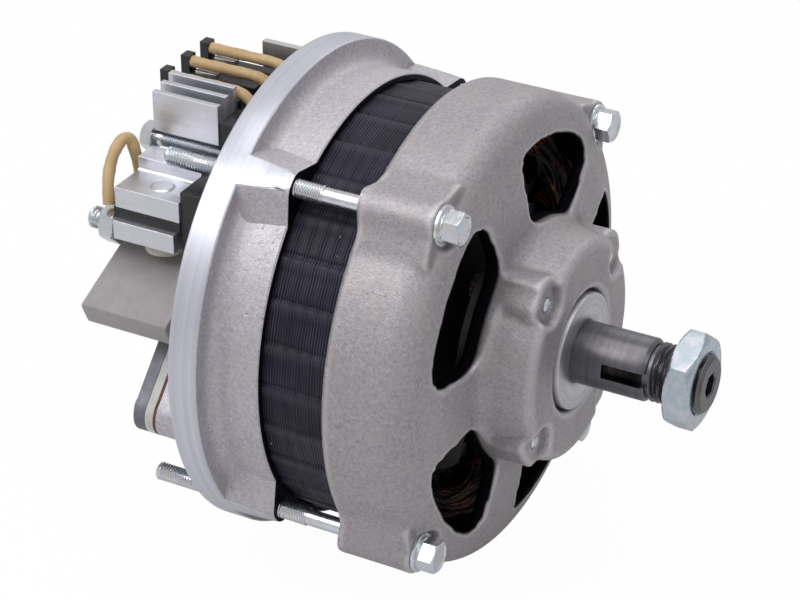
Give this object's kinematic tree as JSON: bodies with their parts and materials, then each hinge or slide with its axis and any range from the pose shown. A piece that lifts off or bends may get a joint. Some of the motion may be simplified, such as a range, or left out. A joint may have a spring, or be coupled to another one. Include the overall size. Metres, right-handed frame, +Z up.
{
  "type": "alternator",
  "caption": "Compact claw-pole alternator with a turned rear clamping flange, exposed rectifier and a threaded drive shaft with its nut.",
  "frame": {"origin": "on the shaft axis, in the plane of the mounting flange's rear face", "axes": "+X along the shaft towards the drive end, +Z up, +Y to the right seen from the drive end"},
  "size_m": [0.1585, 0.136, 0.136],
  "materials": {
    "cast_front": "bead-blasted casting",
    "cast_rear": "bead-blasted casting with a turned rim",
    "lamination": "black varnish over laminations",
    "winding": "varnished copper wire",
    "steel_plate": "pressed",
    "zinc": "bright zinc plated",
    "bearing_steel": "ground",
    "cage": "pressed",
    "sink_aluminium": "extruded and sawn",
    "black_plastic": "glass-filled moulding",
    "tinned_terminal": "tinned",
    "sleeve": "varnished glass-fibre sleeve",
    "diode": "moulded",
    "cream_plastic": "moulded",
    "capacitor_case": "moulded",
    "regulator_cover": "rough die casting",
    "gasket": "fibre gasket",
    "white_plastic": "moulded",
    "spring_steel": "drawn wire",
    "carbon": "pressed graphite",
    "shaft_steel": "ground",
    "pole_iron": "varnished forging",
    "copper_ring": "turned copper"
  },
  "bodies": {
    "stator_frame": {"drive_end_housing": "cast_front", "rear_housing": "cast_rear", "stator_core": "lamination", "stator_winding": "winding", "bearing_retainer_plate": "steel_plate", "retainer_screws": "zinc", "front_bearing_outer_race": "bearing_steel", "front_bearing_shields": "bearing_steel", "rear_bearing_outer_race": "bearing_steel", "rear_bearing_shields": "bearing_steel", "through_bolts": "zinc", "bolt_washers": "zinc", "positive_heat_sink": "sink_aluminium", "negative_heat_sink": "sink_aluminium", "positive_bar": "sink_aluminium", "cooling_plate": "sink_aluminium", "rectifier_insulator": "black_plastic", "terminal_carrier": "black_plastic", "phase_terminals": "tinned_terminal", "phase_leads": "sleeve", "field_lead": "sleeve", "positive_diodes": "diode", "negative_diodes": "diode", "exciter_diodes": "diode", "rectifier_rivet": "sink_aluminium", "insulating_bush": "cream_plastic", "heat_sink_screws": "zinc", "output_stud": "zinc", "output_nut": "zinc", "output_washer": "zinc", "suppression_capacitor": "capacitor_case", "capacitor_bracket": "zinc", "capacitor_screw": "zinc", "regulator_cover": "regulator_cover", "regulator_gasket": "gasket", "brush_holder": "white_plastic", "regulator_screws": "zinc", "brush_spring_front": "spring_steel", "brush_spring_rear": "spring_steel"},
    "rotor": {"rotor_shaft": "shaft_steel", "front_claw_pole": "pole_iron", "rear_claw_pole": "pole_iron", "field_coil": "winding", "coil_bobbin": "cream_plastic", "slip_ring_hub": "black_plastic", "slip_rings": "copper_ring", "spacer_collar": "shaft_steel", "shaft_nut": "zinc", "front_bearing_inner_race": "bearing_steel", "rear_bearing_inner_race": "bearing_steel"},
    "front_bearing_cage": {"front_bearing_balls": "bearing_steel", "front_bearing_cage": "cage"},
    "rear_bearing_cage": {"rear_bearing_balls": "bearing_steel", "rear_bearing_cage": "cage"},
    "front_brush": {"carbon_brush_front": "carbon"},
    "rear_brush": {"carbon_brush_rear": "carbon"}
  },
  "joints": [
    {"name": "rotor_spin", "type": "hinge", "parent": "stator_frame", "child": "rotor", "pos_m": [0, 0, 0], "axis": [1, 0, 0], "continuous": true},
    {"name": "front_cage_spin", "type": "hinge", "parent": "stator_frame", "child": "front_bearing_cage", "pos_m": [0.075, 0, 0], "axis": [1, 0, 0], "continuous": true},
    {"name": "rear_cage_spin", "type": "hinge", "parent": "stator_frame", "child": "rear_bearing_cage", "pos_m": [-0.003, 0, 0], "axis": [1, 0, 0], "continuous": true},
    {"name": "front_brush_slide", "type": "slide", "parent": "stator_frame", "child": "front_brush", "axis": [0, -0.9703, -0.2419], "range_m": [0, 0.004], "stiffness_N_per_m": 150, "springref_m": -0.004, "deforming": ["brush_spring_front"]},
    {"name": "rear_brush_slide", "type": "slide", "parent": "stator_frame", "child": "rear_brush", "axis": [0, -0.9703, -0.2419], "range_m": [0, 0.004], "stiffness_N_per_m": 150, "springref_m": -0.004, "deforming": ["brush_spring_rear"]}
  ],
  "couplings": [
    {"joint": "front_cage_spin", "follows": "rotor_spin", "ratio": 0.3656},
    {"joint": "rear_cage_spin", "follows": "rotor_spin", "ratio": 0.384}
  ]
}
